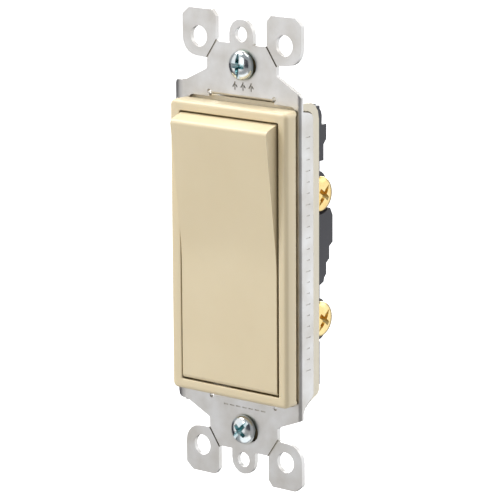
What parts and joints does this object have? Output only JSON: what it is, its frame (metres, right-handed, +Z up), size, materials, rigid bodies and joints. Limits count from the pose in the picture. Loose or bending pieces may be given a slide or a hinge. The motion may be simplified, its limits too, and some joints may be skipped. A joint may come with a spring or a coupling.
{
  "type": "rocker wall switch",
  "caption": "Ivory rocker wall switch on a galvanised mounting strap, with side terminal screws and a grounding screw, for a wall box.",
  "frame": {"origin": "midway between the two box screws, in the plane of the strap's front face", "axes": "+X to the right seen from the front, +Y into the wall, +Z up, along the strap"},
  "size_m": [0.0404, 0.0266, 0.1066],
  "materials": {
    "galvanised_steel": "zinc-coated sheet, faintly mottled, satin",
    "ivory_plastic": "ivory moulded plastic, satin gloss",
    "cream_plastic": "cream moulded plastic, satin",
    "charcoal_plastic": "charcoal moulded plastic, slight sheen",
    "zinc_plate": "bright zinc plate",
    "brass": "bright yellow brass",
    "contact_silver": "silver alloy, satin",
    "spring_steel": "bare spring steel",
    "green_plate": "green plated steel",
    "nylon": "natural nylon",
    "fibre": "vulcanised fibre"
  },
  "bodies": {
    "base": {"mounting_strap": "galvanised_steel", "bezel_frame": "ivory_plastic", "front_housing": "cream_plastic", "back_body": "charcoal_plastic", "line_terminal": "brass", "load_terminal": "brass", "fixed_contact": "contact_silver", "line_push_in_spring": "spring_steel", "load_push_in_spring": "spring_steel", "screw_retainer_top": "fibre", "screw_retainer_bottom": "fibre"},
    "rocker": {"rocker_paddle": "ivory_plastic", "toggle_spring": "spring_steel"},
    "plunger": {"plunger": "nylon"},
    "contact_arm": {"contact_arm": "brass", "moving_contact": "contact_silver"},
    "line_screw": {"line_screw": "brass"},
    "load_screw": {"load_screw": "brass"},
    "mounting_screw_top": {"mounting_screw_top": "zinc_plate"},
    "mounting_screw_bottom": {"mounting_screw_bottom": "zinc_plate"},
    "ground_screw": {"ground_screw": "green_plate"}
  },
  "joints": [
    {"name": "rocker_tilt", "type": "hinge", "parent": "base", "child": "rocker", "pos_m": [0, 0.003, 0], "axis": [-1, 0, 0], "range_deg": [0, 6.9]},
    {"name": "contact_arm_tilt", "type": "hinge", "parent": "base", "child": "contact_arm", "pos_m": [0, 0.013, 0], "axis": [-1, 0, 0], "range_deg": [-12, 0]},
    {"name": "plunger_slide", "type": "slide", "parent": "rocker", "child": "plunger", "axis": [0, 0.9982, 0.0602], "range_m": [-0.0003, 0], "stiffness_N_per_m": 400},
    {"name": "line_screw_travel", "type": "slide", "parent": "base", "child": "line_screw", "axis": [1, 0, 0], "range_m": [0, 0.003]},
    {"name": "load_screw_travel", "type": "slide", "parent": "base", "child": "load_screw", "axis": [1, 0, 0], "range_m": [0, 0.003]},
    {"name": "mounting_screw_top_travel", "type": "slide", "parent": "base", "child": "mounting_screw_top", "axis": [0, -1, 0], "range_m": [0, 0.007]},
    {"name": "mounting_screw_bottom_travel", "type": "slide", "parent": "base", "child": "mounting_screw_bottom", "axis": [0, -1, 0], "range_m": [0, 0.007]},
    {"name": "ground_screw_travel", "type": "slide", "parent": "base", "child": "ground_screw", "axis": [-1, 0, 0], "range_m": [0, 0.0015]}
  ],
  "couplings": [
    {"joint": "contact_arm_tilt", "follows": "rocker_tilt", "ratio": -1.7391}
  ]
}
